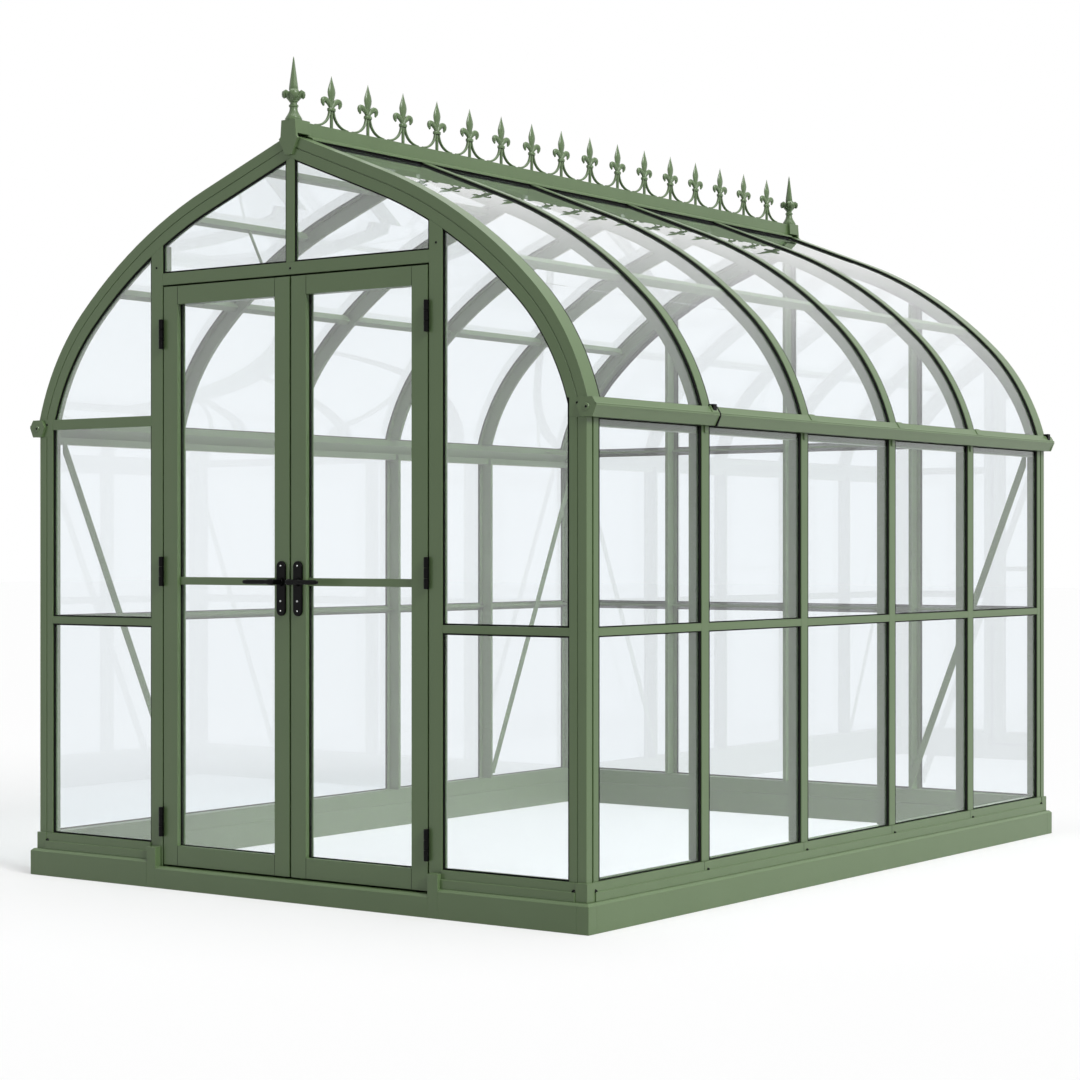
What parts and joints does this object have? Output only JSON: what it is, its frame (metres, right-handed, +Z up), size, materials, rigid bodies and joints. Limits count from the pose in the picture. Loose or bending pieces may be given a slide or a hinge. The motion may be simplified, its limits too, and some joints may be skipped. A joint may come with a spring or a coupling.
{
  "type": "victorian greenhouse",
  "caption": "Free-standing glazed greenhouse with a bowed vaulted roof, ridge cresting with finials, a low plinth and a pair of hinged glazed doors in the front gable.",
  "frame": {"origin": "middle of the part's box on the ground, 16 mm in front of the middle of the plinth because the door levers stand out at the front", "axes": "+Z up, +Y from the door gable to the back gable, +X to the right when facing the doors"},
  "size_m": [2.366, 3.232, 2.6784],
  "materials": {
    "green_powder_coat": "moss green satin powder coat on aluminium",
    "clear_glass": "clear horticultural glass",
    "black_ironmongery": "satin black coated ironmongery"
  },
  "bodies": {
    "frame": {"back_arch": "green_powder_coat", "back_glass": "clear_glass", "back_wall_posts": "green_powder_coat", "corner_posts": "green_powder_coat", "corner_ties": "green_powder_coat", "door_jambs": "green_powder_coat", "door_threshold": "green_powder_coat", "door_transom": "green_powder_coat", "finials": "green_powder_coat", "front_arch": "green_powder_coat", "front_glass": "clear_glass", "gable_eave_rails": "green_powder_coat", "gable_mid_rails": "green_powder_coat", "gable_mullion": "green_powder_coat", "jamb_hinges": "black_ironmongery", "left_eave_gutter": "green_powder_coat", "left_roof_glass": "clear_glass", "left_roof_ribs": "green_powder_coat", "left_wall_glass": "clear_glass", "plinth_corners": "green_powder_coat", "plinth_ends": "green_powder_coat", "plinth_sides": "green_powder_coat", "ridge_bar": "green_powder_coat", "ridge_caps": "green_powder_coat", "ridge_cresting": "green_powder_coat", "right_eave_gutter": "green_powder_coat", "right_roof_glass": "clear_glass", "right_roof_ribs": "green_powder_coat", "right_wall_glass": "clear_glass", "roof_purlins": "green_powder_coat", "roof_vent_bars": "green_powder_coat", "side_mid_rails": "green_powder_coat", "side_wall_posts": "green_powder_coat", "sill_rails": "green_powder_coat", "wall_braces": "green_powder_coat"},
    "left_door": {"left_door_glass": "clear_glass", "left_door_ironmongery": "black_ironmongery", "left_door_rails": "green_powder_coat", "left_door_stiles": "green_powder_coat"},
    "right_door": {"right_door_glass": "clear_glass", "right_door_ironmongery": "black_ironmongery", "right_door_rails": "green_powder_coat", "right_door_stiles": "green_powder_coat"},
    "left_lever": {"left_door_lever": "black_ironmongery"},
    "right_lever": {"right_door_lever": "black_ironmongery"}
  },
  "joints": [
    {"name": "left_door_swing", "type": "hinge", "parent": "frame", "child": "left_door", "pos_m": [-0.557, -1.57, 1], "axis": [0, 0, -1], "range_deg": [0, 110]},
    {"name": "right_door_swing", "type": "hinge", "parent": "frame", "child": "right_door", "pos_m": [0.557, -1.57, 1], "axis": [0, 0, 1], "range_deg": [0, 110]},
    {"name": "left_lever_turn", "type": "hinge", "parent": "left_door", "child": "left_lever", "pos_m": [-0.035, -1.561, 1.012], "axis": [0, -1, 0], "range_deg": [0, 45], "stiffness_Nm_per_rad": 1.2},
    {"name": "right_lever_turn", "type": "hinge", "parent": "right_door", "child": "right_lever", "pos_m": [0.035, -1.561, 1.012], "axis": [0, 1, 0], "range_deg": [0, 45], "stiffness_Nm_per_rad": 1.2}
  ]
}
